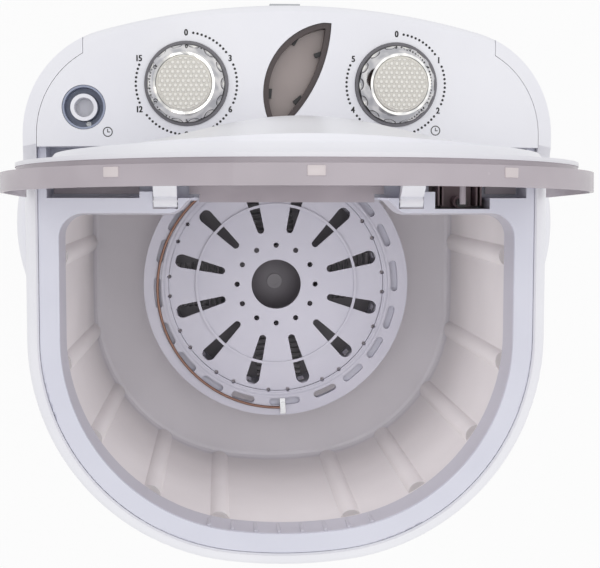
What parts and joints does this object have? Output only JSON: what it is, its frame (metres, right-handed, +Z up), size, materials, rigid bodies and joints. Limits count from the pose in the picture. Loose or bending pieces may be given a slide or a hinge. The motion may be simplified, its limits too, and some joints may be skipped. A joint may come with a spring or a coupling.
{
  "type": "mini washing machine",
  "caption": "Small top-loading washing machine: a rounded tub with a spin basket in its floor, a hinged domed lid and two timer dials on the raised back.",
  "frame": {"origin": "centre of the bounding box's bottom face, on the floor, with the lid standing open", "axes": "+Z up, -Y towards the user at the front, +X to the user's right"},
  "size_m": [0.392, 0.3983, 0.7195],
  "materials": {
    "white_plastic": "gloss",
    "deck_plastic": "gloss",
    "grey_plastic": "satin",
    "blue_grey_plastic": "satin",
    "dark_bezel": "gloss",
    "knob_chrome": "polished",
    "knob_cream": "gloss",
    "brown_plastic": "satin",
    "black_plastic": "satin",
    "smoked_lens": "gloss",
    "smoky_clear": "gloss",
    "timer_plastic": "satin",
    "tub_plastic": "satin",
    "basket_plastic": "gloss",
    "dark_grey_plastic": "satin",
    "black_rubber": "matt",
    "polished_steel": "polished",
    "zinc_steel": "zinc plated",
    "cast_aluminium": "as cast",
    "bronze_bush": "sintered",
    "copper_wire": "satin"
  },
  "bodies": {
    "cabinet": {"outer_casing": "white_plastic", "base_pan": "grey_plastic", "feet": "black_rubber", "rear_cover": "white_plastic", "rear_cover_screws": "zinc_steel", "handle_left": "white_plastic", "handle_right": "white_plastic", "top_frame": "deck_plastic", "control_panel": "white_plastic", "window_frame": "brown_plastic", "window_lens": "smoked_lens", "window_clips": "black_plastic", "wash_bezel": "dark_bezel", "spin_bezel": "dark_bezel", "wash_timer": "timer_plastic", "spin_timer": "timer_plastic", "inlet_cup": "blue_grey_plastic", "inlet_spigot": "white_plastic", "inlet_elbow": "grey_plastic", "inlet_screw": "zinc_steel", "hinge_pins": "polished_steel", "switch_body": "brown_plastic", "tub": "tub_plastic", "bearing_housing": "cast_aluminium", "shaft_bushes": "bronze_bush", "shaft_seal": "black_rubber", "drive_belt": "black_rubber", "motor_body": "zinc_steel", "motor_bracket": "zinc_steel", "motor_bolts": "zinc_steel", "capacitor": "white_plastic", "capacitor_cradle": "grey_plastic", "drain_elbow": "grey_plastic", "drain_spigot": "grey_plastic", "cord_gland": "black_rubber", "hose_hook": "grey_plastic"},
    "lid": {"lid_tray": "smoky_clear", "lid_shell": "white_plastic", "lid_arm_left": "white_plastic", "lid_arm_right": "white_plastic"},
    "wash_knob": {"wash_knob_ring": "knob_chrome", "wash_knob_cap": "knob_cream", "wash_shaft": "polished_steel"},
    "spin_knob": {"spin_knob_ring": "knob_chrome", "spin_knob_cap": "knob_cream", "spin_shaft": "polished_steel"},
    "rotor": {"drive_shaft": "polished_steel", "drive_pulley": "dark_grey_plastic", "pulsator": "dark_grey_plastic", "pulsator_cap": "dark_grey_plastic", "basket_body": "basket_plastic", "basket_cover": "basket_plastic", "retaining_wire": "copper_wire", "wire_clip": "polished_steel"},
    "motor_rotor": {"motor_shaft": "polished_steel", "motor_pulley": "zinc_steel"},
    "plunger": {"switch_plunger": "black_plastic"}
  },
  "joints": [
    {"name": "lid_hinge", "type": "hinge", "parent": "cabinet", "child": "lid", "pos_m": [0, 0.0565, 0.463], "axis": [1, 0, 0], "range_deg": [0, 92.3]},
    {"name": "wash_knob_turn", "type": "hinge", "parent": "cabinet", "child": "wash_knob", "pos_m": [-0.0697, 0.1345, 0.49482], "axis": [0.0911, 0.0348, -0.9952], "range_deg": [0, 330]},
    {"name": "spin_knob_turn", "type": "hinge", "parent": "cabinet", "child": "spin_knob", "pos_m": [0.0697, 0.1345, 0.49482], "axis": [-0.0911, 0.0348, -0.9952], "range_deg": [0, 330]},
    {"name": "rotor_spin", "type": "hinge", "parent": "cabinet", "child": "rotor", "pos_m": [0, -0.0164, 0.216], "axis": [0, 0, 1], "continuous": true},
    {"name": "motor_spin", "type": "hinge", "parent": "cabinet", "child": "motor_rotor", "pos_m": [0.092, 0.066, 0.136], "axis": [0, 0, 1], "continuous": true},
    {"name": "plunger_slide", "type": "slide", "parent": "cabinet", "child": "plunger", "axis": [0, 0, -1], "range_m": [0, 0.004], "stiffness_N_per_m": 60, "springref_m": -0.004}
  ],
  "couplings": [
    {"joint": "motor_spin", "follows": "rotor_spin", "ratio": 3.8667}
  ]
}
